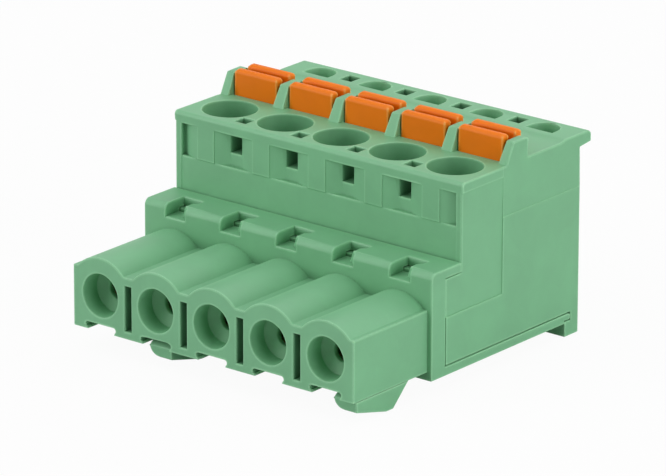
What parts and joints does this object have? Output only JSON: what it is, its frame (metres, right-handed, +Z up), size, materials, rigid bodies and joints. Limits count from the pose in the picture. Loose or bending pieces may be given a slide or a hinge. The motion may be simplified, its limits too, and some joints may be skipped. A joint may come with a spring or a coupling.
{
  "type": "pluggable terminal block",
  "caption": "Green pluggable terminal block: a row of plug barrels in front, wire holes and orange push buttons on top, spring clamps inside.",
  "frame": {"origin": "under the middle of the block, on the plane that the foot and the latch noses rest on", "axes": "+X along the row of poles, +Y from the plug face to the back, +Z up, the way the wires leave"},
  "size_m": [0.026, 0.0264, 0.0165],
  "materials": {
    "green_moulding": "semi-matt moulded plastic",
    "orange_button": "smooth moulded plastic with a soft sheen",
    "spring_steel": "rolled spring steel",
    "tinned_copper": "matt tin plating on copper strip",
    "contact_bronze": "rolled bronze strip"
  },
  "bodies": {
    "housing": {"plug_housing": "green_moulding", "clamp_housing": "green_moulding", "clamp_spring_1": "spring_steel", "clamp_spring_2": "spring_steel", "clamp_spring_3": "spring_steel", "clamp_spring_4": "spring_steel", "clamp_spring_5": "spring_steel", "current_bar_1": "tinned_copper", "current_bar_2": "tinned_copper", "current_bar_3": "tinned_copper", "current_bar_4": "tinned_copper", "current_bar_5": "tinned_copper", "socket_contact_1": "contact_bronze", "socket_contact_2": "contact_bronze", "socket_contact_3": "contact_bronze", "socket_contact_4": "contact_bronze", "socket_contact_5": "contact_bronze"},
    "button_1": {"push_button_1": "orange_button"},
    "button_2": {"push_button_2": "orange_button"},
    "button_3": {"push_button_3": "orange_button"},
    "button_4": {"push_button_4": "orange_button"},
    "button_5": {"push_button_5": "orange_button"}
  },
  "joints": [
    {"name": "press_1", "type": "slide", "parent": "housing", "child": "button_1", "axis": [0, 0, -1], "range_m": [0, 0.0015], "stiffness_N_per_m": 2000, "deforming": ["clamp_spring_1"]},
    {"name": "press_2", "type": "slide", "parent": "housing", "child": "button_2", "axis": [0, 0, -1], "range_m": [0, 0.0015], "stiffness_N_per_m": 2000, "deforming": ["clamp_spring_2"]},
    {"name": "press_3", "type": "slide", "parent": "housing", "child": "button_3", "axis": [0, 0, -1], "range_m": [0, 0.0015], "stiffness_N_per_m": 2000, "deforming": ["clamp_spring_3"]},
    {"name": "press_4", "type": "slide", "parent": "housing", "child": "button_4", "axis": [0, 0, -1], "range_m": [0, 0.0015], "stiffness_N_per_m": 2000, "deforming": ["clamp_spring_4"]},
    {"name": "press_5", "type": "slide", "parent": "housing", "child": "button_5", "axis": [0, 0, -1], "range_m": [0, 0.0015], "stiffness_N_per_m": 2000, "deforming": ["clamp_spring_5"]}
  ]
}
